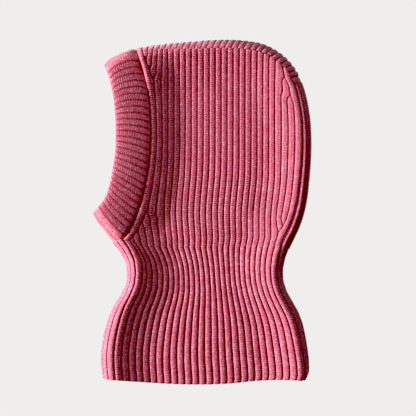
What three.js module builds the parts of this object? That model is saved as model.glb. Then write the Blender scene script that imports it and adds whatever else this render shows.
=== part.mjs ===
// A rib-knit balaclava lying on its right side, flat and slightly lofted, as a knitted hood lies on a table.
// Millimetres. +Z is up, +Y runs from the hem to the crown, and the face opening looks along -X.
// Two layers of knit lie one over the other: the left half above, the right half on the table. They turn into
// each other at the folds, which are the crown, the back, the forehead, the chin and the front of the collar.
// Every panel is knitted apart and linked to its neighbours by a yarn that lies in the gap between them.
import * as THREE from "three";

// ---- Driving dimensions ----
const LENGTH = 400; // hem to crown
const FABRIC = 5.5; // one layer of ribbed knit
const FOLD = 12; // radius of the layer's middle line at a fold, seen from above
const LOFT_BELOW = 12.5; // from the fold's axis down to the middle of the lower layer
const LOFT_ABOVE = 17; // and up to the middle of the upper layer, beside the fold
const SAG = 0.45; // share of its loft that the upper layer loses away from the folds
const SAG_STARTS = 12; // distance from a fold where the upper layer begins to sink
const SAG_ENDS = 62; // distance from a fold where it lies lowest
const BAND_THICKNESS = 8; // the face band is knitted double
const BAND_FOLD = 8;
const BAND_BELOW = 10.5;
const BAND_ABOVE = 14.5;
const BAND_EDGE = 0.5; // share of its thickness that the band keeps at its two long edges
const SEAM_GAP = 3.2; // between two linked panels
const YARN = 1.8; // diameter of the linking yarn
const YARN_SIDES = 6;
const YARN_CLEAR = 3.2; // a seam stops this far short of the seam that it runs into
const STRIP_INSET = 10.5; // from the outline to the seam of the crown and back strips
const STRIP_NARROW = 0.5; // the share of it that is left at the forehead
const LABEL = { length: 26, width: 15, ply: 0.7, bend: 0.9, height: 66, gap: 4.5 };

const OUTER = FABRIC / 2;
const INNER = -FABRIC / 2;
const FOLD_OUTSIDE = FOLD + OUTER; // from the outline to the axis of a fold
const AXIS = OUTER + LOFT_BELOW; // height of that axis over the table
const BAND_OUTSIDE = BAND_FOLD + BAND_THICKNESS / 2;
const BAND_AXIS = BAND_THICKNESS / 2 + BAND_BELOW;

// ---- Outline of the lying balaclava, as [x, height over the hem] ----
// From the forehead over the crown, down the back of the head and neck to the hem.
const CROWN_AND_BACK = [
  [-79, 390.5], [-50, 394.5], [-20, 397.5], [14, 400], [45, 399.5], [71, 395], [89, 385.5], [103, 372.5],
  [113.5, 355], [121, 331], [125.2, 303], [126, 272], [124, 240], [120, 208], [113.5, 185], [102, 160.5],
  [95.5, 145], [92.5, 129], [94, 115], [100, 101], [108, 88.5], [114.5, 74], [118.5, 57], [121.5, 38],
  [123, 21], [121.5, 11], [116, 5.5],
];
const STRIP_JOIN = 8; // the crown strip ends and the back strip begins at this point of that line
const CORNER = 7; // the hood panel turns from its top edge to its back edge here
const NAPE = 15; // the hood ends and the collar begins here
const COLLAR_FRONT = [
  [-117, 7.5], [-119, 25], [-118.5, 42], [-115.5, 58], [-111.5, 72], [-106, 86], [-98.5, 97.5], [-91.5, 108],
  [-88.3, 120], [-88, 131], [-90.5, 143], [-96.5, 152.5], [-103, 160], [-107, 164.5],
];
const HEM = [[-117, 7.5], [-90, 4.5], [-60, 2], [-30, 0.4], [0, 0], [30, 1], [60, 4], [90, 5.4], [116, 5.5]];
const NECK = [
  [-107, 164.5], [-100, 167], [-93, 169.5], [-84, 166.5], [-70, 162], [-50, 160.5], [0, 160.5], [50, 160.5],
  [102, 160.5],
];
const THROAT = 2; // the hood's front corner on the neck line, where the face band leaves it
const BAND_SEAM = [
  [-107, 164.5], [-100, 167], [-93, 169.5], [-86.5, 179], [-78.5, 196], [-72, 216], [-67.5, 234],
  [-64.2, 254], [-62.2, 275], [-62, 297.5], [-63.2, 320], [-66, 342], [-70.5, 363], [-76, 380], [-79, 390.5],
];
const FACE_EDGE = [
  [-126, 195.5], [-121.5, 204.5], [-113.5, 215], [-107.5, 232], [-104, 250], [-101.3, 268], [-100.5, 290],
  [-101.5, 317], [-104.5, 340], [-109, 358], [-113, 372],
];
const CHIN_FOLD = [[-107, 164.5], [-111, 171], [-115.5, 178], [-121, 186], [-126, 195.5]];
const FOREHEAD_FOLD = [[-79, 390.5], [-88, 388.8], [-97, 385.5], [-106, 379.5], [-113, 372]];

// ---- Lines in plan ----
const clamp = THREE.MathUtils.clamp;
const smooth = (from, to, x) => THREE.MathUtils.smoothstep(x, from, to);
const DENSE = 24; // points of a line between two of its knots

// A smooth line through knots, cut between two of them, which gives its point at a share of its length.
class Line {
  constructor(knots, first = 0, last = knots.length - 1) {
    const curve = new THREE.CatmullRomCurve3(
      knots.map(([x, height]) => new THREE.Vector3(x, height - LENGTH / 2, 0)),
      false,
      "centripetal",
    );
    const spans = knots.length - 1;
    this.points = [];
    for (let i = first * DENSE; i <= last * DENSE; i++) {
      const p = curve.getPoint(i / (spans * DENSE));
      this.points.push(new THREE.Vector2(p.x, p.y));
    }
    this.far = [0];
    for (let i = 1; i < this.points.length; i++)
      this.far.push(this.far[i - 1] + this.points[i].distanceTo(this.points[i - 1]));
    this.length = this.far.at(-1);
  }
  at(share) {
    const along = clamp(share, 0, 1) * this.length;
    let i = 1;
    while (i < this.far.length - 1 && this.far[i] < along) i++;
    const t = (along - this.far[i - 1]) / (this.far[i] - this.far[i - 1]);
    return this.points[i - 1].clone().lerp(this.points[i], t);
  }
  // Unit vector to the right of the line's direction.
  right(share) {
    const step = 0.004;
    const d = this.at(share + step).sub(this.at(share - step)).normalize();
    return new THREE.Vector2(d.y, -d.x);
  }
}

// A patch between four lines: bottom and top run the same way, and so do left and right.
const patch = (bottom, top, left, right) => (s, t) => {
  const mix = (a, b, k) => a.clone().multiplyScalar(1 - k).addScaledVector(b, k);
  const across = mix(left.at(t), right.at(t), s);
  const along = mix(bottom.at(s), top.at(s), t);
  const corners = mix(mix(bottom.at(0), bottom.at(1), s), mix(top.at(0), top.at(1), s), t);
  return across.add(along).sub(corners);
};

const outlineBack = new Line(CROWN_AND_BACK);
const crownLine = new Line(CROWN_AND_BACK, 0, STRIP_JOIN);
const backLine = new Line(CROWN_AND_BACK, STRIP_JOIN, NAPE);
const hoodLine = new Line(CROWN_AND_BACK, 0, NAPE);
const collarBack = reversed(new Line(CROWN_AND_BACK, NAPE));
const collarFront = new Line(COLLAR_FRONT);
const hem = new Line(HEM);
const neck = new Line(NECK);
const bandSeam = new Line(BAND_SEAM);
const faceEdge = new Line(FACE_EDGE);
const chinFold = new Line(CHIN_FOLD);
const foreheadFold = new Line(FOREHEAD_FOLD);

function reversed(line) {
  line.points.reverse();
  line.far = line.far.map((far) => line.length - far).reverse();
  return line;
}

// The inset from the crown and back outline at which the strips are linked to the hood panels.
const stripInset = (share) => STRIP_INSET * (STRIP_NARROW + (1 - STRIP_NARROW) * smooth(0, 0.2, share));

// A place at an inset from that outline. Towards the nape it slides down, to end level with the neck line.
const napeSlide = -hoodLine.right(1).y / hoodLine.right(1).x;
function insetPlace(share, inset) {
  const inwards = hoodLine.right(share);
  const along = new THREE.Vector2(-inwards.y, inwards.x);
  const slide = inset * napeSlide * smooth(0.86, 1, share);
  return hoodLine.at(share).addScaledVector(inwards, inset).addScaledVector(along, slide);
}

// The edge of a hood panel beside that seam.
function panelEdge(first, last, upwards) {
  const steps = 120;
  const line = Object.create(Line.prototype);
  line.points = [];
  for (let i = 0; i <= steps; i++) {
    const share = THREE.MathUtils.lerp(first, last, i / steps);
    line.points.push(insetPlace(share, stripInset(share) + SEAM_GAP / 2));
  }
  line.far = [0];
  for (let i = 1; i <= steps; i++)
    line.far.push(line.far[i - 1] + line.points[i].distanceTo(line.points[i - 1]));
  line.length = line.far.at(-1);
  return upwards ? reversed(line) : line;
}

// ---- Heights ----
const foldPoints = [outlineBack, collarFront, chinFold, foreheadFold].flatMap((line) => line.points);
const fromFold = (p) => Math.min(...foldPoints.map((q) => p.distanceTo(q)));
// How far a layer has turned up from the fold at a distance from the outline, as a sine.
const turned = (distance) => Math.sqrt(1 - clamp((FOLD_OUTSIDE - distance) / FOLD, 0, 1) ** 2);
const sagAt = (distance) => 1 - SAG * smooth(SAG_STARTS, SAG_ENDS, distance);
const UPPER = 1;
const LOWER = -1;
const layerHeight = (layer, distance, sine, offset) => {
  const loft = layer === UPPER ? LOFT_ABOVE * sagAt(distance) : LOFT_BELOW;
  return AXIS + layer * (loft + offset) * sine;
};
const loftAt = (angle) => (angle > 0 ? LOFT_ABOVE : LOFT_BELOW);

// ---- Solids ----
// A closed sheet of fabric: place(u, v, offset) gives a point at an offset from the middle surface.
function sheet(columns, rows, place, offsets = [OUTER, INNER]) {
  const positions = [];
  for (const offset of offsets)
    for (let j = 0; j <= rows; j++)
      for (let i = 0; i <= columns; i++) positions.push(...place(i / columns, j / rows, offset).toArray());
  const layerSize = (columns + 1) * (rows + 1);
  const id = (side, i, j) => side * layerSize + j * (columns + 1) + i;
  const index = [];
  const quad = (a, b, c, d) => index.push(a, b, c, a, c, d);
  for (let j = 0; j < rows; j++)
    for (let i = 0; i < columns; i++) {
      quad(id(0, i, j), id(0, i + 1, j), id(0, i + 1, j + 1), id(0, i, j + 1));
      quad(id(1, i, j), id(1, i, j + 1), id(1, i + 1, j + 1), id(1, i + 1, j));
    }
  for (let i = 0; i < columns; i++) {
    quad(id(1, i, 0), id(1, i + 1, 0), id(0, i + 1, 0), id(0, i, 0));
    quad(id(0, i, rows), id(0, i + 1, rows), id(1, i + 1, rows), id(1, i, rows));
  }
  for (let j = 0; j < rows; j++) {
    quad(id(0, 0, j), id(0, 0, j + 1), id(1, 0, j + 1), id(1, 0, j));
    quad(id(1, columns, j), id(1, columns, j + 1), id(0, columns, j + 1), id(0, columns, j));
  }
  const geometry = new THREE.BufferGeometry();
  geometry.setAttribute("position", new THREE.Float32BufferAttribute(positions, 3));
  geometry.setIndex(index);
  return facingOut(geometry);
}

function facingOut(geometry) {
  const p = geometry.getAttribute("position");
  const index = geometry.getIndex().array;
  const corner = (k) => new THREE.Vector3().fromBufferAttribute(p, index[k]);
  let volume = 0;
  for (let k = 0; k < index.length; k += 3) volume += corner(k).dot(corner(k + 1).cross(corner(k + 2)));
  if (volume < 0) index.reverse();
  geometry.computeVertexNormals();
  return geometry;
}

// A length of linking yarn through points, with an end where it stops or closed into a ring.
function yarn(points, steps, ring = false) {
  const path = new THREE.CatmullRomCurve3(points, ring, "centripetal");
  if (ring) return new THREE.TubeGeometry(path, steps, YARN / 2, YARN_SIDES, true);
  const section = new THREE.Shape();
  for (let i = 0; i < YARN_SIDES; i++) {
    const angle = (i / YARN_SIDES) * 2 * Math.PI;
    section[i ? "lineTo" : "moveTo"]((YARN / 2) * Math.cos(angle), (YARN / 2) * Math.sin(angle));
  }
  return new THREE.ExtrudeGeometry(section, { steps, extrudePath: path });
}

// ---- Collar ----
const collarPlan = patch(hem, neck, collarFront, collarBack);
const QUARTER = (Math.PI / 2) * FOLD;

// A place on one layer of the collar. u runs round it from the front fold to the back, v from hem to neck.
const collarPlace = (layer) => (u, v, offset) => {
  const t = v * (1 - SEAM_GAP / 2 / collarFront.length);
  const width = collarPlan(0, t).distanceTo(collarPlan(1, t));
  const girth = width - 2 * FOLD_OUTSIDE + 2 * QUARTER;
  const along = SEAM_GAP / 2 + u * (girth - SEAM_GAP);
  const toFold = Math.min(along, girth - along);
  const angle = Math.min(toFold / FOLD, Math.PI / 2);
  const past = Math.max(toFold - QUARTER, 0);
  const inset = FOLD_OUTSIDE - (FOLD + offset) * Math.cos(angle) + past;
  const s = along < girth / 2 ? inset / width : 1 - inset / width;
  const plan = collarPlan(s, t);
  return new THREE.Vector3(plan.x, plan.y, layerHeight(layer, inset, Math.sin(angle), offset));
};

// ---- Hood ----
const cornerShare = new Line(CROWN_AND_BACK, 0, CORNER).length / hoodLine.length;
const panelTop = panelEdge(SEAM_GAP / 2 / hoodLine.length, cornerShare, false);
const panelBack = panelEdge(cornerShare, 1, true);
const hoodBottom = new Line([...NECK.slice(THROAT, -1), [panelBack.at(0).x, panelBack.at(0).y + LENGTH / 2]]);
const hoodFront = new Line([...BAND_SEAM.slice(THROAT, -1), [-77.2, 383.9]]);
const hoodPlan = patch(hoodBottom, panelTop, hoodFront, panelBack);

const hoodPlace = (layer) => (u, v, offset) => {
  const edge = SEAM_GAP / 2;
  const plan = hoodPlan(
    THREE.MathUtils.lerp(edge / hoodBottom.length, 1, u),
    THREE.MathUtils.lerp(edge / hoodFront.length, 1, v),
  );
  const distance = fromFold(plan);
  const height = layerHeight(layer, distance, turned(distance), 0) + layer * offset;
  return new THREE.Vector3(plan.x, plan.y, height);
};

// ---- Crown and back strips ----
// A strip folded over the outline: u runs from the upper seam round the fold to the lower seam.
const stripPlace = (first, last) => (u, v, offset) => {
  const edge = SEAM_GAP / 2 / hoodLine.length;
  const share = THREE.MathUtils.lerp(first + edge, last - edge, v);
  const reach = Math.acos(clamp((FOLD_OUTSIDE - stripInset(share) + SEAM_GAP / 2) / FOLD, 0, 1));
  const angle = THREE.MathUtils.lerp(reach, -reach, u);
  const plan = insetPlace(share, FOLD_OUTSIDE - (FOLD + offset) * Math.cos(angle));
  return new THREE.Vector3(plan.x, plan.y, AXIS + (loftAt(angle) + offset) * Math.sin(angle));
};
const joinShare = crownLine.length / hoodLine.length;

// ---- Face band ----
const bandPlan = patch(bandSeam, faceEdge, chinFold, foreheadFold);
const BAND_QUARTER = (Math.PI / 2) * BAND_FOLD;

// A place on the band. v runs round it from the chin, up the upper layer, over the forehead and back below.
const bandPlace = (u, v, side) => {
  const width = faceEdge.length;
  const half = width - 2 * BAND_OUTSIDE + 2 * BAND_QUARTER;
  const along = THREE.MathUtils.lerp(SEAM_GAP / 2, 2 * half - SEAM_GAP / 2, v);
  const layer = along < half ? UPPER : LOWER;
  const onLayer = layer === UPPER ? along : 2 * half - along;
  const toFold = Math.min(onLayer, half - onLayer);
  const angle = Math.min(toFold / BAND_FOLD, Math.PI / 2);
  const thick = (BAND_THICKNESS / 2) * (BAND_EDGE + (1 - BAND_EDGE) * Math.min(1, Math.min(u, 1 - u) * 5));
  const past = Math.max(toFold - BAND_QUARTER, 0);
  const inset = BAND_OUTSIDE - (BAND_FOLD + side * thick) * Math.cos(angle) + past;
  const s = onLayer < half / 2 ? inset / width : 1 - inset / width;
  const across = THREE.MathUtils.lerp(SEAM_GAP / 2 / chinFold.length, 1, u);
  const plan = bandPlan(s, across);
  const loft = layer === UPPER ? BAND_ABOVE : BAND_BELOW;
  return new THREE.Vector3(plan.x, plan.y, BAND_AXIS + layer * (loft + side * thick) * Math.sin(angle));
};

// ---- Seams ----
const lift = (plan, layer, distance) =>
  new THREE.Vector3(plan.x, plan.y, layerHeight(layer, distance, turned(distance), 0));
const many = (count, make) => Array.from({ length: count + 1 }, (_, i) => make(i / count));

// The yarn of a crown seam, from the forehead to the nape.
const crownSeam = (layer) => {
  const stop = YARN_CLEAR / hoodLine.length;
  const points = many(40, (k) => {
    const share = THREE.MathUtils.lerp(stop, 1 - stop, k);
    const inset = stripInset(share);
    return lift(insetPlace(share, inset), layer, inset);
  });
  return yarn(points, 46);
};

// Round the fold at the end of a seam, from one layer to the other, at a place on the outline.
const roundFold = (edge, inwards, steps, from = 90, to = -90) =>
  many(steps, (k) => {
    const angle = THREE.MathUtils.degToRad(THREE.MathUtils.lerp(from, to, k));
    const plan = edge.clone().addScaledVector(inwards, FOLD_OUTSIDE - FOLD * Math.cos(angle));
    return new THREE.Vector3(plan.x, plan.y, AXIS + loftAt(angle) * Math.sin(angle));
  });

// The short seam between the crown strip and the back strip, across the fold.
const stripSeam = () => {
  const inset = stripInset(joinShare) - YARN_CLEAR;
  const reach = THREE.MathUtils.radToDeg(Math.acos((FOLD_OUTSIDE - inset) / FOLD));
  return yarn(roundFold(hoodLine.at(joinShare), hoodLine.right(joinShare), 10, reach, -reach), 14);
};

// A seam that crosses both layers along a line, and turns round the fold at the line's far end.
function seamAcross(line, first, last, steps) {
  const onLayer = (layer) =>
    many(steps, (k) => {
      const plan = line.at(THREE.MathUtils.lerp(first, last, k));
      return lift(plan, layer, fromFold(plan));
    });
  return [onLayer(UPPER), onLayer(LOWER).reverse()];
}

const neckSeam = () => {
  const startShare = new Line(NECK, 0, THROAT).length / neck.length + YARN_CLEAR / neck.length;
  const endShare = 1 - FOLD_OUTSIDE / neck.length;
  const [above, below] = seamAcross(neck, startShare, endShare, 24);
  const inwards = new THREE.Vector2(-1, 0);
  return yarn([...above.slice(0, -1), ...roundFold(neck.at(1), inwards, 8), ...below.slice(1)], 64);
};

// The ring of yarn that links the face band to the hood and, under the chin, to the collar.
const bandRing = () => {
  const stop = FOLD_OUTSIDE / bandSeam.length;
  const [above, below] = seamAcross(bandSeam, stop, 1 - stop, 26);
  const intoSeam = (share) => bandSeam.at(share).sub(bandSeam.at(share < 0.5 ? 0 : 1)).normalize();
  const forehead = roundFold(bandSeam.at(1), intoSeam(1 - stop), 8).slice(1, -1);
  const chin = roundFold(bandSeam.at(0), intoSeam(stop), 8).reverse().slice(1, -1);
  return yarn([...above, ...forehead, ...below, ...chin], 96, true);
};

// A seam that runs along a fold at the outline, at the middle of the fabric.
function seamAlongFold(line, inwardsSign, steps, axis, inset) {
  const stop = YARN_CLEAR / line.length;
  const points = many(steps, (k) => {
    const share = THREE.MathUtils.lerp(stop, 1 - stop, k);
    const plan = line.at(share).addScaledVector(line.right(share), inwardsSign * inset);
    return new THREE.Vector3(plan.x, plan.y, axis);
  });
  return yarn(points, steps);
}

// ---- Care label: a blank folded tape, caught in the back seam and reaching in between the two layers ----
function careLabel() {
  const { length, width, ply, bend } = LABEL;
  const side = new THREE.Shape();
  side.moveTo(0, 0);
  side.lineTo(length - bend, 0);
  side.absarc(length - bend, ply + bend / 2, ply + bend / 2, -Math.PI / 2, Math.PI / 2, false);
  side.lineTo(0, 2 * ply + bend);
  side.lineTo(0, ply + bend);
  side.lineTo(length - bend, ply + bend);
  side.absarc(length - bend, ply + bend / 2, bend / 2, Math.PI / 2, -Math.PI / 2, true);
  side.lineTo(0, ply);
  const tape = new THREE.ExtrudeGeometry(side, { depth: width, bevelEnabled: false, curveSegments: 5 });
  return tape.rotateX(Math.PI / 2).rotateZ(Math.PI);
}

// ---- Assembly ----
const KNIT_COLOUR = 0xc75a70;
const material = (color) => new THREE.MeshStandardMaterial({ color, roughness: 0.95, metalness: 0 });
const balaclava = new THREE.Group();
function add(name, geometry, color = KNIT_COLOUR) {
  const mesh = new THREE.Mesh(geometry, material(color));
  mesh.name = name;
  balaclava.add(mesh);
  return mesh;
}

add("hood_panel_left", sheet(16, 20, hoodPlace(UPPER)));
add("hood_panel_right", sheet(16, 20, hoodPlace(LOWER)));
add("crown_strip", sheet(8, 26, stripPlace(0, joinShare)));
add("back_strip", sheet(8, 18, stripPlace(joinShare, 1)));
add("collar_panel_left", sheet(24, 12, collarPlace(UPPER)));
add("collar_panel_right", sheet(24, 12, collarPlace(LOWER)));
add("face_band", sheet(8, 52, bandPlace, [1, -1]));

const YARN_COLOUR = 0xb64b62;
add("crown_seam_left", crownSeam(UPPER), YARN_COLOUR);
add("crown_seam_right", crownSeam(LOWER), YARN_COLOUR);
add("strip_seam", stripSeam(), YARN_COLOUR);
add("face_band_seam", bandRing(), YARN_COLOUR);
add("band_end_seam", seamAlongFold(chinFold, 1, 8, BAND_AXIS, BAND_THICKNESS / 2), YARN_COLOUR);
add("neck_seam", neckSeam(), YARN_COLOUR);
add("collar_front_seam", seamAlongFold(collarFront, 1, 18, AXIS, OUTER), YARN_COLOUR);
add("collar_back_seam", seamAlongFold(collarBack, -1, 18, AXIS, OUTER), YARN_COLOUR);

const label = add("care_label", careLabel(), 0xf2eee8);
const labelRoot = collarBack.at(LABEL.height / collarBack.length);
label.position.set(labelRoot.x - FABRIC - LABEL.gap, labelRoot.y, AXIS - LABEL.ply - LABEL.bend / 2);

export default balaclava;
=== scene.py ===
"""A rib-knit balaclava lying flat on its right side, seen from straight above.

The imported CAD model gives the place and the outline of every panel. This script knits them again as
ribbed cloth: every panel is a grid of wales and courses, laid between the outlines that the CAD panels
have. Lengths are in millimetres until a mesh is made.
"""

import math

import bpy
import numpy as np
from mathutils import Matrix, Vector


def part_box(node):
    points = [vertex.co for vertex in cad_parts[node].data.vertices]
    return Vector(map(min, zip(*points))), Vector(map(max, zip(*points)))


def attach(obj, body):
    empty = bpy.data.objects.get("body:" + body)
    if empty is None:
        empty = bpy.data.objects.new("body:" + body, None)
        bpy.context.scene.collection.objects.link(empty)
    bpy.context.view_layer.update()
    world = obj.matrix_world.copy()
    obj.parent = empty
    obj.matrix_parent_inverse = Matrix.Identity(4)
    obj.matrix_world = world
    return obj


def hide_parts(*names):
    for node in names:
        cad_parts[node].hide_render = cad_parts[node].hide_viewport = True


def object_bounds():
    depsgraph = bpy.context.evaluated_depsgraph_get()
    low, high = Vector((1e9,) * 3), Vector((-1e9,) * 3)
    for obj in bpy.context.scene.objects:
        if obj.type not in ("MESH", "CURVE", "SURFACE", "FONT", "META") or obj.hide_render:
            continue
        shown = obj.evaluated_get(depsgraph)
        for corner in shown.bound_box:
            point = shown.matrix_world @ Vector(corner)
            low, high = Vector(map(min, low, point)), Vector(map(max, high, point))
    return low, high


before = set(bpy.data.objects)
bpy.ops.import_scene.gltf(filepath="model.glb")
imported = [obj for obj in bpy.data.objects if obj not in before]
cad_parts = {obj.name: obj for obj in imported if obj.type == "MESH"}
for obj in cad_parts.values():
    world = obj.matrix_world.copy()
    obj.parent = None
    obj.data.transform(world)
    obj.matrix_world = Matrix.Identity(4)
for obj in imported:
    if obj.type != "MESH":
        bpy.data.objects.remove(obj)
CAD_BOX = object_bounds()
MM = 0.001

# ---- The knit ----
FABRIC = 5.0  # one layer, over its ribs
RIB_HEIGHT = 2.2
BEAD_HEIGHT = 0.42  # how far a stitch stands out of its rib
COURSE = 2.6  # height of one row of stitches
ROWS_A_COURSE = 4
RIB_STEPS = (0.0, 0.05, 0.15, 0.31, 0.5, 0.69, 0.85, 0.95)  # samples across a rib
WANDER = 0.013  # share of the mean rib by which an edge between two ribs wanders
WANDER_LONG = 23.0  # in two waves: millimetres a radian of each
WANDER_SHORT = 9.0
FULL_RIB = 0.8  # a rib narrower than this share of the mean one stands out less
BEAD_SLANT = 0.32  # courses by which a stitch lags at the edges of its rib
DIMPLE = 0.3  # half width of the dimple between two stitches, where half a rib is 1
RIB_TIP = 0.7  # a rib rounds off before its groove does, by this share of its height
INNER_GROOVE = 0.35  # the inner face is this share as deeply ribbed
INSIDE_ROLL = 0.25  # share of an edge's roll that the inner face takes
INSIDE_STEP = 4  # the inner face takes every fourth sample
MAIN_RIBS = 18  # straight ribs in the middle of the hood and of the collar
MAIN_START = -41.0  # x of their first edge, and of their last one
MAIN_END = 83.7
START_BOWS = 4.2  # the first edge bows forward by this much
BOW_AT = 0.2  # at this share of the hood's height
BOW_REACH = 0.16
END_DRAWN = 4.5  # the last edge is drawn forward below this pair of shares
END_DRAWN_OVER = (0.15, 0.4)
NECK_DRAWN = 2.5  # and again just above the neck
NECK_DRAWN_OVER = (0.0, 0.06)
RIB_GROWS = 0.05  # share of the hood's height over which a rib that begins comes to full width
BELOW, ABOVE = -1, 2  # shares outside the panel, for a rib that doesn't begin or end inside it
WHOLE = (BELOW, ABOVE)
# Where the ribs of the hood begin and end, as shares of its height: those between the face band and the
# straight ribs, and those between the straight ribs and the back.
FRONT_RIBS = (
    WHOLE,
    (0.94, ABOVE),
    (0.89, ABOVE),
    (0.84, ABOVE),
    (BELOW, 0.035),
    (BELOW, 0.075),
    (BELOW, 0.12),
    (BELOW, 0.18),
    WHOLE,
    WHOLE,
)
BACK_RIBS = (WHOLE, (0.08, 0.92), (0.12, 0.83), WHOLE)
COLLAR_EVEN = 0.1  # the collar's ribs are even up to this share of its height
THROAT_RIBS = 3  # ribs of the collar before the hood's first one, on each layer
NAPE_RIBS = 2  # and behind its last one
BACK_STRIP_RIBS = 4
CROWN_RIB = 7.0
LEAN = 2.0  # ribs by which one of the crown strip leans over the strip's width
BAND_RIBS = 60

YARN_RADIUS = 0.75
YARN_SIDES = 8
YARN_STEPS = 12  # samples a turn
PLY_TWIST = 1.1  # radians a millimetre
PLY_DEPTH = 0.2  # how far the two plies stand out, as a share of the yarn's radius
YARN_FLAT = 0.55  # a turn of the yarn is flatter than round by this factor
TAPE_PLY = 0.3  # share of the label's height that one ply takes
TAPE_STEPS = 60
TAPE_ACROSS = 40
TAPE_BEND_STEPS = 14
SELVEDGE = 0.9
SELVEDGE_THICKER = 0.35
TAPE_CURL = 0.25  # share of the ply
TAPE_WAVE = 6.5

# ---- How the layers lie ----
FOLD = 12.0  # reach of a fold in plan
FOLD_CLEAR = 2.2  # the middle of the cloth stays this far inside the outline
FOLD_OUTSIDE = FOLD + FOLD_CLEAR
EDGE_GAP = 0.1  # half of the gap between the two halves of the collar, along their seams
HEM_FOLD_FRONT = 19.0  # the collar's folds spread towards the hem
HEM_FOLD_BACK = 17.0
BACK_SQUARE = 0.5  # the back folds have flatter tops and steeper sides than a plain arc
UNDER_LOFT = 12.0  # from the fold's axis down to the middle of the lower layer
OVER_LOFT = 18.0  # and up to the middle of the upper layer
AXIS = UNDER_LOFT + 2.9  # height of that axis
SAG = 0.64  # share of the loft that the upper layer loses away from the folds
SAG_STARTS = 12.0  # distance from the outline where the upper layer begins to sink
SAG_ENDS = 60.0
SAG_BEND = 1.7
FRONT_RISE = 9.5  # the hood stands this much higher beside the face band
FRONT_SLOPE = 37.0  # and comes down over this distance
SEAM_REACH = 1.5  # the cloth covers this much of the gap that the CAD panels leave
UNDER_BAND = 1.0  # and the hood reaches this much further, under the face band
STRIP_CLEAR = 1.2  # between the strips and the edge of a hood panel
SLIDE_STARTS = 0.86  # share of the outline where the back strip begins to slide down
BEFORE_NAPE = 0.999  # and where it ends
NECK_REACH = 1.6  # half of the gap at the neck
NECK_BLEND = 0.75  # above this share of the collar its heights go over to the hood's
JOIN_OVERLAP = 1.2  # the hood laps the collar by this much
BAND_FOLD = 8.0
BAND_OUTSIDE = 12.0  # from the band's outline to the axis of its fold
BAND_THICKNESS = 9.0
BAND_UNDER = 10.0  # from the axis down to the middle of the band's lower half
BAND_OVER = 14.2  # and up to the middle of its upper half
BAND_TILT = 6.0  # the band lies higher at the face than at its seam
BAND_FLARE = 3.0  # its folds reach further out at its two edges, which are rolled down
UPPER, LOWER = 1, -1

# ---- Where the outline is cut into lines ----
TURN_SHARE = 0.6  # share of the back's x at which the crown is followed by y instead of by x
BROW_CORNER = 6.0  # the hood's front edge ends this far below its top
CROWN_CORNER = 10.0  # its top edge ends this far above the join of the strips
FRONT_CORNER = 7.6  # the collar's front edge begins this far above the hem
BACK_CORNER = 13.0  # and its back edge this far, above the rounded corner
THROAT_CORNER = 5.0
NAPE_CORNER = 1.0

# ---- Colours, light and camera ----
# Deep red: the painted shade in the grooves between ribs and in the stitch gaps, and the yarn's random
# darker patches
DEEP = (0.30, 0.004, 0.008)
ROSE = (0.62, 0.134, 0.205)
PALE = (0.95, 0.61, 0.78)
FLOOR = (0.865, 0.855, 0.848)
BLACK = (0.025, 0.033, 0.039)  # the view's black level, which deepens the shades
WORLD_COLOUR = (1, 0.98, 0.98, 1)
WORLD_STRENGTH = 0.14
KEY = dict(place=(-1.6, 0.1, 0.46), size=0.45, power=75)  # low, from the face side
CROWN_FILL = dict(place=(0.1, 1.3, 0.7), size=0.6, power=6)
AIM_HEIGHT = 0.02  # metres: the height that the lamps point at
LENS, SENSOR = 135, 36
FRAME_SHARE = 416 / 344  # the view's width over the length of the hood
AIM_X = 0.0053  # metres: how far the view's middle lies from the middle of the hood
AIM_Y = 0.0046
FLOOR_REACH = 4  # metres
FLOOR_DROP = 0.0005


# ---- Outlines, read from the CAD panels ----
class Slices:
    """The edges of some CAD nodes, seen from above and cut at levels of x or y."""

    def __init__(self, *nodes):
        ends = []
        for node in nodes:
            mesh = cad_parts[node].data
            points = np.array([v.co[:2] for v in mesh.vertices]) / MM
            ends.append(points[np.array([e.vertices[:] for e in mesh.edges])])
        self.a, self.b = np.concatenate(ends).transpose(1, 0, 2)
        self.low = np.minimum(self.a, self.b).min(0)
        self.high = np.maximum(self.a, self.b).max(0)

    def edge(self, axis, side, start, stop, count=90):
        """The furthest points on a side (-1 or 1), at levels of x (axis 0) or of y (axis 1)."""
        found = []
        for level in np.linspace(start, stop, count):
            a, b = self.a[:, axis] - level, self.b[:, axis] - level
            across = (a * b <= 0) & (a != b)
            share = a[across] / (a[across] - b[across])
            other = self.a[across, 1 - axis] * (1 - share) + self.b[across, 1 - axis] * share
            furthest = side * (side * other).max()
            found.append((level, furthest) if axis == 0 else (furthest, level))
        return np.array(found)


class Line:
    """A line in plan, by the share of its length."""

    def __init__(self, *runs):
        points = np.concatenate(runs)
        steps = np.hypot(*np.diff(points, axis=0).T)
        keep = np.concatenate([[True], steps > 1e-4])
        points = points[keep]
        for _ in range(3):
            points[1:-1] = (points[:-2] + 2 * points[1:-1] + points[2:]) / 4
        self.far = np.concatenate([[0], np.cumsum(np.hypot(*np.diff(points, axis=0).T))])
        self.points, self.length = points, self.far[-1]

    def at(self, share):
        along = np.clip(share, 0, 1) * self.length
        return np.stack([np.interp(along, self.far, self.points[:, i]) for i in (0, 1)], -1)

    def right(self, share):
        """Unit vectors to the right of the line's direction."""
        d = self.at(np.clip(share + 0.01, 0, 1)) - self.at(np.clip(share - 0.01, 0, 1))
        d /= np.maximum(np.hypot(d[..., 0], d[..., 1]), 1e-9)[..., None]
        return np.stack([d[..., 1], -d[..., 0]], -1)

    def moved(self, amount):
        """The same line, moved to its right."""
        share = np.linspace(0, 1, 240)
        return Line(self.at(share) + self.right(share) * amount)


def smooth(low, high, x):
    t = np.clip((x - low) / (high - low), 0, 1)
    return t * t * (3 - 2 * t)


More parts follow.
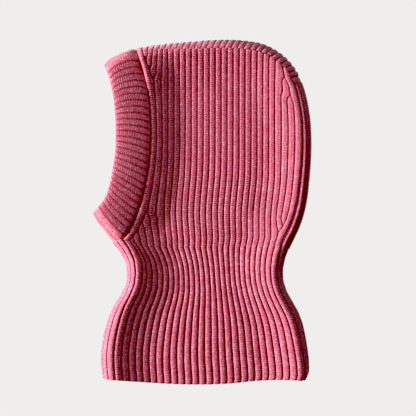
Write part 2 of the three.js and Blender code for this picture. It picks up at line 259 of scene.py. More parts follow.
def patch(bottom, top, left, right):
    """A plan between four lines. Bottom and top run the same way, and so do left and right, whose ends
    are drawn to those of bottom and top."""

    def side(line, v, low, high):
        return line.at(v[..., 0]) + (1 - v) * (low - line.at(0.0)) + v * (high - line.at(1.0))

    def plan(u, v):
        u, v = u[..., None], v[..., None]
        c00, c10, c01, c11 = bottom.at(0.0), bottom.at(1.0), top.at(0.0), top.at(1.0)
        across = (1 - u) * side(left, v, c00, c01) + u * side(right, v, c10, c11)
        along = (1 - v) * bottom.at(u[..., 0]) + v * top.at(u[..., 0])
        corners = (1 - v) * ((1 - u) * c00 + u * c10) + v * ((1 - u) * c01 + u * c11)
        return across + along - corners

    return plan


strips = Slices("crown_strip", "back_strip")
collar_cad = Slices("collar_panel_left", "collar_panel_right")
band_cad = Slices("face_band")
hood_cad = Slices("hood_panel_left")

# The crown and the back, from the forehead to the nape.
TURN_X = TURN_SHARE * strips.high[0]
crown_run = strips.edge(0, 1, strips.low[0] + 0.5, TURN_X)
back_run = strips.edge(1, 1, crown_run[-1, 1] - 0.5, strips.low[1] + 0.5, 160)
under_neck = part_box("neck_seam")[0].y / MM
nape = collar_cad.edge(1, 1, under_neck - 1.5, 0, 1)
outline = Line(crown_run, back_run, nape)
join_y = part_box("strip_seam")[0].y / MM

# The hood panel's own edges.
hood_side = hood_cad.edge(1, -1, hood_cad.low[1] + 0.2, hood_cad.high[1] - BROW_CORNER, 260)
throat = int(np.argmin(hood_side[:80, 0]))  # the foremost place of the lower part
hood_front_run = hood_side[throat:]
panel_top = hood_cad.edge(0, 1, hood_side[-1, 0] - 0.3, TURN_X)
panel_back = hood_cad.edge(1, 1, panel_top[-1, 1] - 0.5, hood_cad.low[1] + 1.0, 160)
panel_edge = Line(panel_top, panel_back)
corner = np.argmax((panel_edge.points[:, 1] < join_y + CROWN_CORNER) & (panel_edge.points[:, 0] > 0))
hood_top = Line(panel_edge.points[: corner + 1])

# The collar's edges.
under_throat = collar_cad.high[1] - THROAT_CORNER
collar_front = Line(collar_cad.edge(1, -1, collar_cad.low[1] + FRONT_CORNER, under_throat))
collar_back = Line(collar_cad.edge(1, 1, collar_cad.low[1] + BACK_CORNER, under_neck - NAPE_CORNER))
hem_run = collar_cad.edge(0, -1, collar_front.points[0, 0], collar_back.points[0, 0] - 0.2, 400)
hem = Line(hem_run, collar_back.points[:1])
neck = Line(collar_cad.edge(0, 1, collar_front.points[-1, 0], collar_back.points[-1, 0])).moved(-NECK_REACH)

# The hood meets the collar on one line.
hood_starts = hood_front_run[0, 0] - SEAM_REACH - UNDER_BAND
on_neck = (neck.points[:, 0] > hood_starts) & (neck.points[:, 0] < panel_back[-1, 0] + SEAM_REACH)
hood_bottom = Line(neck.points[on_neck]).moved(JOIN_OVERLAP)
hood_front = Line(hood_bottom.points[:1], hood_front_run, panel_top[:1])
hood_back = Line(hood_bottom.points[-1:], panel_edge.points[corner:][::-1])

# The face band's edges.
band_side = band_cad.edge(1, -1, band_cad.low[1] + 0.5, band_cad.high[1], 300)
tip = int(np.argmin(band_side[:, 0]))
brow = 200 + int(np.argmin(band_side[200:, 0]))  # and of the band's upper third
face_edge = Line(band_side[tip : brow + 1])
chin_fold = Line(band_side[: tip + 1])
band_seam = Line(band_cad.edge(1, 1, band_cad.low[1] + 0.5, band_cad.high[1] - 1.0, 200))
brow_fold = Line(band_cad.edge(0, 1, band_seam.points[-1, 0], band_side[brow, 0] + 0.4))

folds = (outline, collar_front, collar_back, chin_fold, brow_fold)
fold_points = np.concatenate([line.points for line in folds])


def from_fold(plan):
    """The distance of places in plan from the nearest fold."""
    flat = plan.reshape(-1, 2)
    found = np.empty(len(flat))
    for i in range(0, len(flat), 4000):
        part = flat[i : i + 4000, None, :] - fold_points[None]
        found[i : i + 4000] = np.sqrt((part**2).sum(-1).min(1))
    return found.reshape(plan.shape[:-1])


# ---- Heights of a layer's middle ----
def loft(layer):
    return OVER_LOFT if layer == UPPER else UNDER_LOFT


def squared(sine, square):
    """The rise of a fold: a plain arc's sine where square is 0, and a fuller curve above that."""
    return sine * (1 + square * (1 - sine))


def layer_height(layer, distance, fold=FOLD, square=0.0):
    sine = squared(np.sqrt(1 - np.clip((fold + FOLD_CLEAR - distance) / fold, 0, 1) ** 2), square)
    left = 1 - np.clip((distance - SAG_STARTS) / (SAG_ENDS - SAG_STARTS), 0, 1)
    sag = SAG * (1 - left**SAG_BEND) if layer == UPPER else 0.0
    return AXIS + layer * loft(layer) * sine * (1 - sag)


def stacked(plan, height):
    return np.concatenate([plan, np.broadcast_to(height, plan.shape[:-1])[..., None]], -1)


def collar_place(layer):
    plan = patch(hem, neck, collar_front, collar_back)

    def place(u, v):
        ends = plan(np.stack([u * 0, u * 0 + 1]), np.stack([v, v]))
        width = np.hypot(*(ends[1] - ends[0]).transpose(2, 0, 1))
        above_hem = smooth(0, 1, v)
        front = HEM_FOLD_FRONT + (FOLD - HEM_FOLD_FRONT) * above_hem
        back = HEM_FOLD_BACK + (FOLD - HEM_FOLD_BACK) * above_hem
        girth = width + (math.pi / 2 - 1) * (front + back) - 2 * FOLD_CLEAR
        along = EDGE_GAP + u * (girth - 2 * EDGE_GAP)
        in_front = along < girth / 2
        fold = np.where(in_front, front, back)
        square = np.where(in_front, 0.0, BACK_SQUARE * above_hem)
        to_fold = np.minimum(along, girth - along)
        angle = np.minimum(to_fold / fold, math.pi / 2)
        inset = FOLD_CLEAR + fold * (1 - np.cos(angle)) + np.maximum(to_fold - math.pi / 2 * fold, 0)
        p = plan(np.where(in_front, inset / width, 1 - inset / width), v)
        near_neck = smooth(NECK_BLEND, 1, v)
        as_hood = inset + (from_fold(p) - inset) * smooth(0, FOLD, to_fold)
        height = (1 - near_neck) * layer_height(layer, inset, fold, square)
        height += near_neck * layer_height(layer, as_hood, fold, square)
        return stacked(p, height)

    return place


def hood_place(layer):
    plan = patch(
        hood_bottom,
        hood_top.moved(-SEAM_REACH),
        hood_front.moved(-SEAM_REACH - UNDER_BAND),
        hood_back.moved(SEAM_REACH),
    )

    def place(u, v):
        p = plan(u, v)
        height = layer_height(layer, from_fold(p))
        if layer == UPPER:
            beside_band = u * hood_bottom.length
            slope = np.hypot(np.maximum(1 - beside_band / FRONT_SLOPE, 0) + 0.02, 0.08) - 0.08
            height = height + FRONT_RISE * slope * smooth(0, 0.2, v) * (1 - 0.7 * smooth(0.85, 1, v))
        return stacked(p, height)

    return place


def strip_inset(share):
    at = outline.at(share)
    gap = np.sqrt(((at[..., None, :] - panel_edge.points) ** 2).sum(-1).min(-1))
    return gap - STRIP_CLEAR


back_shares = np.linspace(0.4, 1, 200)
join_share = float(np.interp(-join_y, -outline.at(back_shares)[:, 1], back_shares))
share_table = np.linspace(0, 1, 120)
# Towards the nape the strip slides down, to end level with the neck line.
nape_slide = -outline.right(1.0)[1] / outline.right(1.0)[0]
inset_table = strip_inset(share_table)


def strip_place(first, last):
    """u runs round the fold, from the seam above to the seam below, and v along the outline."""

    def place(u, v):
        share = first + (last - first) * v
        inset = np.interp(share, share_table, inset_table)
        reach = np.arccos(np.clip((FOLD_OUTSIDE - inset) / FOLD, 0, 1))
        angle = reach * (1 - 2 * u)
        inset = (FOLD_OUTSIDE - FOLD * np.cos(angle))[..., None]
        inwards = outline.right(share)
        along = np.stack([-inwards[..., 1], inwards[..., 0]], -1)
        slide = nape_slide * smooth(SLIDE_STARTS, 1, share)[..., None]
        plan = outline.at(share) + inset * (inwards + slide * along)
        rise = np.sign(angle) * squared(np.abs(np.sin(angle)), BACK_SQUARE)
        return stacked(plan, AXIS + np.where(angle > 0, OVER_LOFT, UNDER_LOFT) * rise)

    return place


def band_place(u, v):
    """u runs across the band, from its seam to the face, and v round it, from the chin over the forehead
    and back."""
    width = 0.5 * (face_edge.length + band_seam.length)
    quarter = math.pi / 2 * BAND_FOLD
    half = width - 2 * BAND_OUTSIDE + 2 * quarter
    along = np.where(v < 0.5, v, 1 - v) * 2 * half
    to_fold = np.minimum(along, half - along)
    angle = np.minimum(to_fold / BAND_FOLD, math.pi / 2)
    reach = BAND_FOLD + BAND_FLARE * (1 + u) / 2 * (2 * u - 1) ** 2
    inset = BAND_OUTSIDE - reach * np.cos(angle) + np.maximum(to_fold - quarter, 0)
    share = np.where(along < half / 2, inset / width, 1 - inset / width)
    plan = patch(band_seam.moved(SEAM_REACH), face_edge, chin_fold, brow_fold)(share, u)
    over = BAND_OVER + BAND_TILT * (1 - (1 - u) ** 2)
    height = AXIS + np.where(v < 0.5, over, -BAND_UNDER) * np.sin(angle)
    return stacked(plan, height)


# ---- Knitting ----
EVERY = slice(None)
BACKWARDS = slice(None, None, -1)
TURNED = [0, 3, 2, 1]  # the corners of a face in the other order, from the same first one


class Surface:
    """The middle of a layer, sampled once: places and normals by (u, v)."""

    def __init__(self, place, columns, rows, turn=1):
        self.columns, self.rows = columns, rows
        u, v = np.meshgrid(np.linspace(0, 1, columns), np.linspace(0, 1, rows))
        self.place = place(u, v)
        normal = np.cross(np.gradient(self.place, axis=1), np.gradient(self.place, axis=0)) * turn
        self.normal = normal / np.maximum(np.linalg.norm(normal, axis=-1, keepdims=True), 1e-9)
        self.width = np.linalg.norm(np.diff(self.place, axis=1), axis=-1).sum(1)
        self.length = np.linalg.norm(np.diff(self.place, axis=0), axis=-1).sum(0)

    def at(self, u, v):
        x, y = u * (self.columns - 1), v * (self.rows - 1)
        i = np.clip(x.astype(int), 0, self.columns - 2)
        j = np.clip(y.astype(int), 0, self.rows - 2)
        fx, fy = (x - i)[..., None], (y - j)[..., None]

        def mix(a):
            low = a[j, i] * (1 - fx) + a[j, i + 1] * fx
            return low * (1 - fy) + (a[j + 1, i] * (1 - fx) + a[j + 1, i + 1] * fx) * fy

        return mix(self.place), mix(self.normal)


def rolled(distance, radius, drop):
    """How far the face has dropped at a distance from an edge that is rounded off."""
    t = 1 - np.clip(distance / radius, 0, 1)
    return drop * (1 - np.sqrt(np.maximum(1 - t * t, 0)))


def mesh_object(name, points, faces, uv):
    mesh = bpy.data.meshes.new(name)
    mesh.vertices.add(len(points))
    mesh.vertices.foreach_set("co", (points * MM).astype(np.float32).ravel())
    sizes = np.concatenate([np.full(len(f), f.shape[1]) for f in faces])
    loops = np.concatenate([f.ravel() for f in faces])
    mesh.loops.add(len(loops))
    mesh.loops.foreach_set("vertex_index", loops.astype(np.int32))
    mesh.polygons.add(len(sizes))
    mesh.polygons.foreach_set("loop_start", np.concatenate([[0], np.cumsum(sizes)[:-1]]).astype(np.int32))
    layer = mesh.uv_layers.new(name="knit")
    layer.data.foreach_set("uv", uv[loops].astype(np.float32).ravel())
    mesh.update(calc_edges=True)
    mesh.validate()
    mesh.shade_smooth()
    made = bpy.data.objects.new(name, mesh)
    bpy.context.scene.collection.objects.link(made)
    return made


def quads(ids):
    """The faces of a grid of points, which runs in rows."""
    return np.stack([ids[:-1, :-1], ids[:-1, 1:], ids[1:, 1:], ids[1:, :-1]], -1).reshape(-1, 4)


def join_rims(outer, inner, step):
    """Faces between an edge of the outer face and the coarser edge of the inner face."""
    last = len(inner) - 1
    coarse = np.minimum(np.arange(len(outer) - 1) // step, last)
    fans = np.stack([outer[:-1], outer[1:], inner[coarse]], 1)
    ends = np.minimum(np.arange(1, last + 1) * step, len(outer) - 1)
    return [fans, np.stack([outer[ends], inner[1:], inner[:-1]], 1)]


def knit(
    name,
    surface,
    rib_edges,
    rolls,
    tall=RIB_HEIGHT,
    sharp=2.6,
    beads=BEAD_HEIGHT,
    thickness=FABRIC,
    raised=np.ones_like,
):
    """A closed ribbed cloth. rib_edges(v) gives the ribs' edges as shares of the width, and rolls the
    (radius, drop) of the cloth's edges at u=0, u=1, v=0 and v=1. A drop may be a function of u.
    raised(u) is the share of its height that a rib stands out."""
    courses = surface.length.mean() / COURSE
    rows = int(courses * ROWS_A_COURSE / INSIDE_STEP) * INSIDE_STEP + 1
    v = np.linspace(0, 1, rows)
    bounds = rib_edges(v)
    ribs = bounds.shape[1] - 1
    along = v[:, None] * surface.length.mean()
    wander = np.sin(along / WANDER_LONG + np.arange(ribs + 1) * 2.4)
    wander += np.sin(along / WANDER_SHORT + np.arange(ribs + 1) * 4.1) * 0.5
    wander[:, [0, -1]] = 0
    bounds = bounds + WANDER * wander / ribs * np.minimum(1, np.gradient(bounds, axis=1) * ribs)
    steps = np.array(RIB_STEPS)
    u = bounds[:, :-1, None] + steps * np.diff(bounds, axis=1)[..., None]
    u = np.concatenate([u.reshape(rows, -1), bounds[:, -1:]], 1)
    columns = u.shape[1]
    s = np.append(np.tile(steps, ribs), 0.0) * 2 - 1
    rib = np.append(np.repeat(np.arange(ribs), len(steps)), ribs)
    narrow = np.clip(np.diff(bounds, axis=1) * ribs / FULL_RIB, 0, 1)
    narrow = np.append(np.repeat(narrow, len(steps), axis=1), narrow[:, -1:], axis=1)
    profile = np.sqrt(1 - np.abs(s) ** sharp)
    course = v * courses
    slant = BEAD_SLANT * np.abs(s)
    bead = beads * np.cos(2 * math.pi * (course[:, None] + slant)) * profile
    bead -= beads * np.exp(-((s / DIMPLE) ** 2)) * (1 - np.cos(2 * math.pi * course[:, None])) / 2
    relief = (tall - (tall * (1 - profile) - bead) * raised(u)) * narrow
    width = np.interp(v, np.linspace(0, 1, surface.rows), surface.width)[:, None]
    length = np.interp(u, np.linspace(0, 1, surface.columns), surface.length)
    ends = RIB_TIP * tall * profile
    edges = (u * width, (1 - u) * width, v[:, None] * length + ends, (1 - v[:, None]) * length + ends)
    drop = 0
    for distance, (radius, deep) in zip(edges, rolls):
        drop = drop + rolled(distance, radius, deep(u) if callable(deep) else deep)
    drop *= 0.55 + 0.45 * profile
    place, normal = surface.at(u, np.broadcast_to(v[:, None], u.shape))
    outer = place + normal * (thickness / 2 - tall + relief - drop)[..., None]
    pick = np.arange(0, columns, INSIDE_STEP)
    lines = np.arange(0, rows, INSIDE_STEP)
    inside = np.ix_(lines, pick)
    back = -thickness / 2 + INNER_GROOVE * tall * (1 - profile[pick]) + INSIDE_ROLL * drop[inside]
    inner = place[inside] + normal[inside] * back[..., None]
    ids = np.arange(rows * columns).reshape(rows, columns)
    hidden = ids.size + np.arange(inner[..., 0].size).reshape(inner.shape[:2])
    faces = [quads(ids), quads(hidden)[:, TURNED]]
    for rim in ((0, EVERY), (-1, BACKWARDS), (BACKWARDS, 0), (EVERY, -1)):
        faces += [f[:, ::-1] for f in join_rims(ids[rim], hidden[rim], INSIDE_STEP)]
    uv = np.stack(np.broadcast_arrays(rib + (s + 1) / 2, course[:, None]), -1)
    points = np.concatenate([outer.reshape(-1, 3), inner.reshape(-1, 3)])
    return mesh_object(name, points, faces, np.concatenate([uv.reshape(-1, 2), uv[inside].reshape(-1, 2)]))


def even(ribs):
    return lambda v: np.broadcast_to(np.linspace(0, 1, ribs + 1), (len(v), ribs + 1))


def slanted(ribs):
    """Ribs that lean along the cloth by some of their own width, like the strands of a rope."""

    def rib_edges(v):
        edges = np.linspace(0, 1, ribs + 1)
        lean = LEAN / ribs * 4 * edges * (1 - edges)
        return edges + (v[:, None] - 0.5) * lean

    return rib_edges


def deeper(deep):
    """A measure that is small at the forehead and grows to its full size at the back of the crown."""
    return lambda u: deep * (0.3 + 0.7 * smooth(0.35, 0.8, u))


def hood_rib_places(v, across):
    """The x of every rib edge of the hood, in rows at v. Across holds the x of the hood's two edges."""
    main_start = MAIN_START - START_BOWS * np.exp(-(((v - BOW_AT) / BOW_REACH) ** 2))
    main_end = MAIN_END - END_DRAWN * (1 - smooth(*END_DRAWN_OVER, v))
    main_end = main_end - NECK_DRAWN * (1 - smooth(*NECK_DRAWN_OVER, v))

    def side_edges(ribs, start, end):
        grown = [smooth(a, a + RIB_GROWS, v) * (1 - smooth(b - RIB_GROWS, b, v)) for a, b in ribs]
        sums = np.cumsum(np.maximum(np.stack(grown, 1), 1e-3), 1)
        sums = np.concatenate([0 * v[:, None], sums], 1)
        return start[:, None] + (end - start)[:, None] * sums / sums[:, -1:]

    front = side_edges(FRONT_RIBS, across[0], main_start)
    back = side_edges(BACK_RIBS, main_end, across[1])
    shares = np.linspace(0, 1, MAIN_RIBS + 1)[1:-1]
    main = main_start[:, None] + (main_end - main_start)[:, None] * shares
    return np.concatenate([front, main, back], 1)


def hood_ribs(surface):
    """Rib edges of a hood panel: straight in the middle, and along the panel's edges beside them."""

    def rib_edges(v):
        u = np.linspace(0, 1, 400)
        x = surface.at(*np.meshgrid(u, v))[0][..., 0]
        places = hood_rib_places(v, (x[:, 0], x[:, -1]))
        return np.stack([np.interp(place, row, u) for place, row in zip(places, x)])

    return rib_edges


def collar_ribs(v):
    """Rib edges of the collar: even at the hem, and at the neck each one goes on as a rib of the hood."""
    ends = hood_bottom.points[[0, -1], 0]
    start = neck.points[0, 0] + FOLD_OUTSIDE - math.pi / 2 * FOLD
    girth = neck.points[-1, 0] - FOLD_OUTSIDE + math.pi / 2 * FOLD - start
    hood = hood_rib_places(np.zeros(1), ends[:, None])[0]
    hood = hood[np.append(np.diff(hood) > 0.2, True)]
    first, last = (hood[[0, -1]] - start) / girth
    front = np.linspace(0, first, THROAT_RIBS + 1)[:-1]
    back = np.linspace(last, 1, NAPE_RIBS + 1)[1:]
    at_neck = np.concatenate([front, (hood - start) / girth, back])
    near = smooth(COLLAR_EVEN, 1, v)[:, None]
    return np.linspace(0, 1, len(at_neck)) * (1 - near) + at_neck * near


# The (radius, drop) of a cloth's edge: a free one, one at a seam, and one where the knit goes on.
FREE = (3.0, 2.0)
SEAMED = (3.4, 3.0)
ON = (1.0, 0.0)


# ---- Linking yarn ----
def cord_mesh(name, centre, side, radius):
    """A two-ply yarn round a centre line. Side is a direction across the line at each of its points."""
    steps = np.gradient(centre, axis=0)
    along = steps / np.linalg.norm(steps, axis=1, keepdims=True)
    first = side - along * (side * along).sum(1, keepdims=True)
    first /= np.linalg.norm(first, axis=1, keepdims=True)
    second = np.cross(along, first)
    far = np.cumsum(np.linalg.norm(steps, axis=1))
    turn = np.arange(YARN_SIDES) / YARN_SIDES * 2 * math.pi
    plies = 1 + PLY_DEPTH * np.cos(2 * (turn[None] - far[:, None] * PLY_TWIST))
    reach = (radius * plies)[..., None]
    ring = np.cos(turn)[None, :, None] * first[:, None] + np.sin(turn)[None, :, None] * second[:, None]
    points = (centre[:, None] + reach * ring).reshape(-1, 3)
    ids = np.arange(len(points)).reshape(-1, YARN_SIDES)
    after = np.roll(ids, -1, axis=1)
    around = np.stack([ids[:-1], after[:-1], after[1:], ids[1:]], -1).reshape(-1, 4)
    uv = np.stack([np.tile(turn / math.pi, len(centre)), np.repeat(far, YARN_SIDES) / COURSE], -1)
    return mesh_object(name, points, [around, ids[:1, ::-1], ids[-1:]], uv)


def stitched(name, path, normal, reach, sink, pitch, radius=YARN_RADIUS):
    """A yarn that winds round a seam's line through both edges, by reach to each side of it. Sink is how
    deep it lies in the groove."""
    far = np.concatenate([[0], np.cumsum(np.linalg.norm(np.diff(path, axis=0), axis=1))])
    turns = max(1, round(far[-1] / pitch))
    at = np.linspace(0, far[-1], turns * YARN_STEPS + 1)
    place, up = (np.stack([np.interp(at, far, a[:, i]) for i in range(3)], -1) for a in (path, normal))
    up /= np.linalg.norm(up, axis=1, keepdims=True)
    across = np.cross(np.gradient(place, axis=0), up)
    across /= np.linalg.norm(across, axis=1, keepdims=True)
    angle = (at / far[-1] * turns * 2 * math.pi)[:, None]
    lift = YARN_FLAT * reach * np.sin(angle) - sink
    centre = place + across * reach * np.cos(angle) + up * lift
    return cord_mesh(name, centre, up, radius)


# ---- Care label ----
def label_tape(name):
    """A blank woven tape, folded double, with its two plies caught in the seam at the higher x."""
    low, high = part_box("care_label")
    low, high = np.array(low) / MM, np.array(high) / MM
    ply = (high[2] - low[2]) * TAPE_PLY
    bend = (high[2] - low[2] - ply) / 2
    middle = (high[2] + low[2]) / 2
    turn = np.linspace(0, math.pi, TAPE_BEND_STEPS)[1:-1]
    run = np.linspace(high[0], low[0] + bend + ply / 2, TAPE_STEPS)
    path = np.concatenate(
        [
            np.stack([run, 0 * run + middle - bend], -1),
            np.stack([run[-1] - bend * np.sin(turn), middle - bend * np.cos(turn)], -1),
            np.stack([run[::-1], 0 * run + middle + bend], -1),
        ]
    )
    along = np.gradient(path, axis=0)
    normal = np.stack([along[:, 1], -along[:, 0]], -1) / np.hypot(*along.T)[:, None]
    far = np.concatenate([[0], np.cumsum(np.hypot(*np.diff(path, axis=0).T))])
    y = np.linspace(low[1], high[1], TAPE_ACROSS)
    from_edge = np.minimum(y - low[1], high[1] - y)
    selvedge = 1 + SELVEDGE_THICKER * (from_edge < SELVEDGE)
    curl = TAPE_CURL * np.sin(far[:, None] / TAPE_WAVE)
    curl = curl * np.sin((y - low[1]) / (high[1] - low[1]) * math.pi)
    sides = []
    for side in (1, -1):
        lift = side * ply / 2 * selvedge[None] / selvedge.max() + curl * ply
        x, z = (path[:, i, None] + normal[:, i, None] * lift for i in (0, 1))
        sides.append(np.stack([x, np.broadcast_to(y, x.shape), z], -1).reshape(-1, 3))
    ids = np.arange(len(path) * len(y)).reshape(len(path), -1)
    other = ids + ids.size
    faces = [quads(ids), quads(other)[:, TURNED]]
    for rim in ((0, EVERY), (-1, BACKWARDS), (BACKWARDS, 0), (EVERY, -1)):
        a, b = ids[rim], other[rim]
        faces.append(np.stack([a[1:], a[:-1], b[:-1], b[1:]], -1))
    uv = np.stack(np.broadcast_arrays(far[:, None], y[None]), -1).reshape(-1, 2)
    made = mesh_object(name, np.concatenate(sides), faces, np.concatenate([uv, uv]))
    return made, (high[1] - low[1], far[-1])


# ---- Materials ----
class Nodes:
    def __init__(self, name):
        self.material = bpy.data.materials.new(name)
        self.material.use_nodes = True
        self.tree = self.material.node_tree
        self.tree.nodes.clear()
        self.shader = self.add("ShaderNodeBsdfPrincipled")
        output = self.add("ShaderNodeOutputMaterial")
        self.tree.links.new(self.shader.outputs[0], output.inputs[0])

    def add(self, kind, **settings):
        node = self.tree.nodes.new(kind)
        for key, value in settings.items():
            setattr(node, key, value)
        return node

    def link(self, source, node, socket):
        if isinstance(source, (int, float)):
            node.inputs[socket].default_value = source
        else:
            self.tree.links.new(source, node.inputs[socket])

    def math(self, operation, a, b=None, clamp=False):
        node = self.add("ShaderNodeMath", operation=operation, use_clamp=clamp)
        self.link(a, node, 0)
        if b is not None:
            self.link(b, node, 1)
        return node.outputs[0]

    def noise(self, vector, scale, detail=2.0, roughness=0.6):
        node = self.add("ShaderNodeTexNoise")
        self.link(vector, node, "Vector")
        node.inputs["Scale"].default_value = scale
        node.inputs["Detail"].default_value = detail
        node.inputs["Roughness"].default_value = roughness
        return node.outputs[0]

    def range(self, value, low, high, to_low=0.0, to_high=1.0):
        node = self.add("ShaderNodeMapRange", interpolation_type="SMOOTHSTEP")
        self.link(value, node, 0)
        for socket, number in zip((1, 2, 3, 4), (low, high, to_low, to_high)):
            node.inputs[socket].default_value = number
        return node.outputs[0]

    def mix(self, factor, a, b):
        node = self.add("ShaderNodeMix", data_type="RGBA")
        self.link(factor, node, 0)
        for socket, colour in ((6, a), (7, b)):
            if isinstance(colour, tuple):
                node.inputs[socket].default_value = (*colour, 1)
            else:
                self.tree.links.new(colour, node.inputs[socket])
        return node.outputs[2]


def wool(name, groove=(0.74, 1.0), stitches=1.0):
    """Heathered wool in ribs: u counts the ribs and v the courses. Groove is where the painted shade
    between two ribs begins and is full, from 0 on a rib to 1 between two. Stitches is how far single ones
    show, in the bump and in the painted shade of their gaps."""
    n = Nodes(name)
    uv = n.add("ShaderNodeUVMap", uv_map="knit")
    parts = n.add("ShaderNodeSeparateXYZ")
    n.link(uv.outputs[0], parts, 0)
    place = n.add("ShaderNodeTexCoord").outputs["Object"]
    wale = n.math("FRACT", parts.outputs[0])
    across = n.math("ABSOLUTE", n.math("SUBTRACT", n.math("MULTIPLY", wale, 2.0), 1.0))
    slanted = n.math("ADD", parts.outputs[1], n.math("MULTIPLY", across, 0.35))
    loops = n.math("COSINE", n.math("MULTIPLY", slanted, 2 * math.pi))
    fibre = n.noise(place, 1500.0, 3.0, 0.7)
    heather = n.noise(place, 520.0, 2.0, 0.6)
    patchy = n.noise(place, 60.0, 2.0)
    # Painted shade: the grooves between two ribs are darkened towards DEEP
    groove_shade = n.range(across, *groove)
    # Painted shade in the holes between stitches and, faintly, between courses; the hole also shapes the
    # bump
    between = n.range(loops, -0.9, 0.3, 1.0, 0.0)
    hole = n.math("MULTIPLY", n.range(across, 0.05, 0.5, 1.0, 0.0), between)
    course_shade = n.math("MULTIPLY", between, 0.08 * stitches)
    stitch_shade = n.math("ADD", n.math("MULTIPLY", hole, 0.6 * stitches), course_shade)
    pale = n.math("MULTIPLY", n.range(heather, 0.46, 0.68), 0.46)
    pale = n.math("ADD", pale, n.math("MULTIPLY", n.range(fibre, 0.5, 0.75), 0.3), clamp=True)
    colour = n.mix(pale, ROSE, PALE)
    colour = n.mix(n.math("MULTIPLY", n.range(patchy, 0.35, 0.7), 0.16), colour, DEEP)
    # Painted shade of the grooves and the stitch gaps together, mixed towards DEEP
    painted_shade = n.math("ADD", stitch_shade, n.math("MULTIPLY", groove_shade, 0.9), clamp=True)
    colour = n.mix(painted_shade, colour, DEEP)
    n.tree.links.new(colour, n.shader.inputs["Base Color"])
    n.shader.inputs["Roughness"].default_value = 0.93
    n.shader.inputs["Specular IOR Level"].default_value = 0.12
    n.shader.inputs["Sheen Weight"].default_value = 0.9
    n.shader.inputs["Sheen Roughness"].default_value = 0.4
    n.shader.inputs["Sheen Tint"].default_value = (1.0, 0.72, 0.8, 1)
    height = n.math("ADD", n.math("MULTIPLY", loops, 0.35 * stitches), n.math("MULTIPLY", fibre, 0.9))
    height = n.math("SUBTRACT", height, n.math("MULTIPLY", hole, 0.9 * stitches))
    bump = n.add("ShaderNodeBump")
    bump.inputs["Strength"].default_value = 0.5
    bump.inputs["Distance"].default_value = 0.0006
    n.link(height, bump, "Height")
    n.tree.links.new(bump.outputs[0], n.shader.inputs["Normal"])
    return n.material


def woven_tape():
    """White satin tape: warp and weft as fine crossing ridges. The uv is in millimetres."""
    n = Nodes("woven_tape")
    uv = n.add("ShaderNodeUVMap", uv_map="knit")
    parts = n.add("ShaderNodeSeparateXYZ")
    n.link(uv.outputs[0], parts, 0)
    weft = n.math("SINE", n.math("MULTIPLY", parts.outputs[0], 2 * math.pi / 0.5))
    warp = n.math("SINE", n.math("MULTIPLY", parts.outputs[1], 2 * math.pi / 0.35))
    weave = n.math("MULTIPLY", weft, warp)
    tone = n.range(weave, -1, 1)
    colour = n.mix(tone, (0.66, 0.63, 0.6), (0.86, 0.84, 0.8))
    n.tree.links.new(colour, n.shader.inputs["Base Color"])
    n.shader.inputs["Roughness"].default_value = 0.55
    n.shader.inputs["Sheen Weight"].default_value = 0.2
    bump = n.add("ShaderNodeBump")
    bump.inputs["Strength"].default_value = 0.35
    bump.inputs["Distance"].default_value = 0.0001
    n.link(weave, bump, "Height")
    n.tree.links.new(bump.outputs[0], n.shader.inputs["Normal"])
    return n.material


# ---- Light, camera and floor ----
def area_light(name, place, size, power):
    light = bpy.data.lights.new(name, "AREA")
    light.shape, light.size = "SQUARE", size
    light.energy = power
    lamp = bpy.data.objects.new(name, light)
    bpy.context.scene.collection.objects.link(lamp)
    lamp.location = place
    beam = Vector((0, 0, AIM_HEIGHT)) - Vector(place)
    lamp.rotation_euler = beam.to_track_quat("-Z", "Y").to_euler()


def camera():
    low, high = CAD_BOX
    lens = bpy.data.cameras.new("camera")
    lens.lens, lens.sensor_width = LENS, SENSOR
    eye = bpy.data.objects.new("camera", lens)
    bpy.context.scene.collection.objects.link(eye)
    view_width = (high.y - low.y) * FRAME_SHARE
    reach = view_width * lens.lens / lens.sensor_width
    eye.location = (
        (low.x + high.x) / 2 + AIM_X,
        (low.y + high.y) / 2 + AIM_Y,
        (low.z + high.z) / 2 + reach,
    )
    eye.rotation_euler = (0, 0, 0)
    bpy.context.scene.camera = eye


camera()
world = bpy.data.worlds.new("studio")
bpy.context.scene.world = world
world.use_nodes = True
world.node_tree.nodes["Background"].inputs[0].default_value = WORLD_COLOUR
world.node_tree.nodes["Background"].inputs[1].default_value = WORLD_STRENGTH
area_light("key", **KEY)
area_light("crown_fill", **CROWN_FILL)

view = bpy.context.scene.view_settings
view.view_transform = "Standard"
view.use_curve_mapping = True
view.curve_mapping.black_level = BLACK
view.curve_mapping.update()


def floor():
    """A floor that takes light and shadow, and looks evenly pale to the camera."""
    n = Nodes("pale_floor")
    glow = n.add("ShaderNodeEmission")
    glow.inputs[0].default_value = (*(shade * (1 - low) + low for shade, low in zip(FLOOR, BLACK)), 1)
    n.shader.inputs["Base Color"].default_value = (0.2, 0.2, 0.2, 1)
    n.shader.inputs["Roughness"].default_value = 1
    seen = n.add("ShaderNodeLightPath").outputs["Is Camera Ray"]
    blend = n.add("ShaderNodeMixShader")
    n.link(seen, blend, 0)
    n.tree.links.new(n.shader.outputs[0], blend.inputs[1])
    n.tree.links.new(glow.outputs[0], blend.inputs[2])
    output = next(x for x in n.tree.nodes if x.type == "OUTPUT_MATERIAL")
    n.tree.links.new(blend.outputs[0], output.inputs[0])
    mesh = bpy.data.meshes.new("floor")
    corners = [(x * FLOOR_REACH, y * FLOOR_REACH, 0) for x, y in ((-1, -1), (1, -1), (1, 1), (-1, 1))]
    mesh.from_pydata(corners, [], [(0, 1, 2, 3)])
    mesh.materials.append(n.material)
    made = bpy.data.objects.new("floor", mesh)
    bpy.context.scene.collection.objects.link(made)
    made.location.z = -FLOOR_DROP


floor()

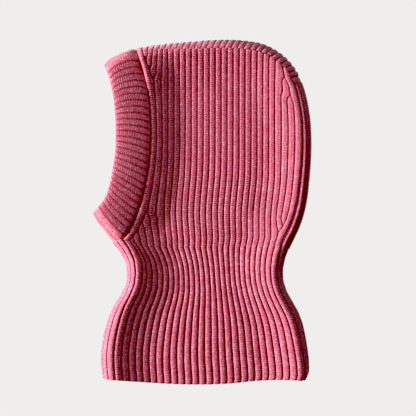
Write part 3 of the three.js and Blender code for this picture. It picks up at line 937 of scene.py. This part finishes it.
# ---- The balaclava ----
knit_wool = wool("heathered_wool")
collar_wool = wool("collar_wool", groove=(0.66, 1.0), stitches=0.5)
band_wool = wool("band_wool", groove=(0.35, 1.2), stitches=0.45)
crown_wool = wool("crown_wool", groove=(0.6, 1.3), stitches=0.8)
linking_wool = wool("linking_wool", groove=(0.9, 1.2), stitches=0.2)


def finish_piece(piece, material, slot, *nodes):
    piece.data.materials.append(material)
    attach(piece, "root")
    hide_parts(*nodes)


def panel(name, surface, node, rib_edges, rolls, material=knit_wool, **looks):
    piece = knit(name, surface, rib_edges, rolls, **looks)
    finish_piece(piece, material, "knit", node)


def seam(name, node, path, normal, reach=1.5, sink=0.6, pitch=3.4):
    piece = stitched(name, path, normal, reach, sink, pitch)
    finish_piece(piece, linking_wool, "linking_yarn", node)


def edge_of(surface, rows, columns):
    return surface.place[rows, columns], surface.normal[rows, columns]


hood_rolls = (SEAMED, SEAMED, ON, (3.8, deeper(4.0)))
collar_looks = dict(material=collar_wool, tall=2.6, beads=0.15)
for side, layer in (("left", UPPER), ("right", LOWER)):
    hood = Surface(hood_place(layer), 120, 150, layer)
    panel(f"hood_{side}", hood, f"hood_panel_{side}", hood_ribs(hood), hood_rolls)
    top, back = edge_of(hood, -1, EVERY), edge_of(hood, BACKWARDS, -1)
    crown_line, crown_normal = (np.concatenate([a, b[1:]]) for a, b in zip(top, back))
    seam(f"crown_yarn_{side}", f"crown_seam_{side}", crown_line[4:-2], crown_normal[4:-2])
    collar = Surface(collar_place(layer), 160, 110, layer)
    panel(f"collar_{side}", collar, f"collar_panel_{side}", collar_ribs, (ON, ON, FREE, ON), **collar_looks)
    if layer == UPPER:
        seam("collar_front_yarn", "collar_front_seam", *edge_of(collar, slice(3, -2), 0), sink=2.2)
        seam("collar_back_yarn", "collar_back_seam", *edge_of(collar, slice(3, -2), -1), sink=2.2)
        over = edge_of(collar, -1, slice(8, None))
    else:
        under = edge_of(collar, -1, slice(None, 7, -1))
neck_line, neck_normal = (np.concatenate([a, b[1:]]) for a, b in zip(over, under))
seam("neck_yarn", "neck_seam", neck_line, neck_normal, reach=1.2, sink=2.4)

back = Surface(strip_place(join_share, BEFORE_NAPE), 40, 140, -1)
panel("back_knit", back, "back_strip", even(BACK_STRIP_RIBS), (SEAMED, SEAMED, ON, ON))

crown_place = strip_place(0.0, join_share)
crown = Surface(lambda u, v: crown_place(v, u), 140, 40)
crown_ribs = round(crown.width.mean() / CROWN_RIB)
crown_rolls = (ON, ON, (3.4, deeper(3.4)), (3.4, deeper(3.4)))
crown_looks = dict(tall=2.4, sharp=2.0, beads=0.2, raised=deeper(1.0), material=crown_wool)
panel("crown_knit", crown, "crown_strip", slanted(crown_ribs), crown_rolls, **crown_looks)
seam("strip_yarn", "strip_seam", *edge_of(back, 0, EVERY), reach=1.2)

ring = Surface(lambda u, v: band_place(v, u), 400, 40, -1)
band_looks = dict(tall=2.0, sharp=2.2, beads=0.14, thickness=BAND_THICKNESS, material=band_wool)
panel("face_band_knit", ring, "face_band", even(BAND_RIBS), (ON, ON, (7.0, 4.5), (12.0, 7.5)), **band_looks)
seam("face_band_yarn", "face_band_seam", *edge_of(ring, 0, EVERY), reach=1.6, sink=-1.5)
seam("band_end_yarn", "band_end_seam", *edge_of(ring, slice(2, -2), 0), reach=1.6, sink=-2.6, pitch=3.0)

label, (label_width, label_length) = label_tape("label_tape")
finish_piece(label, woven_tape(), "label", "care_label")
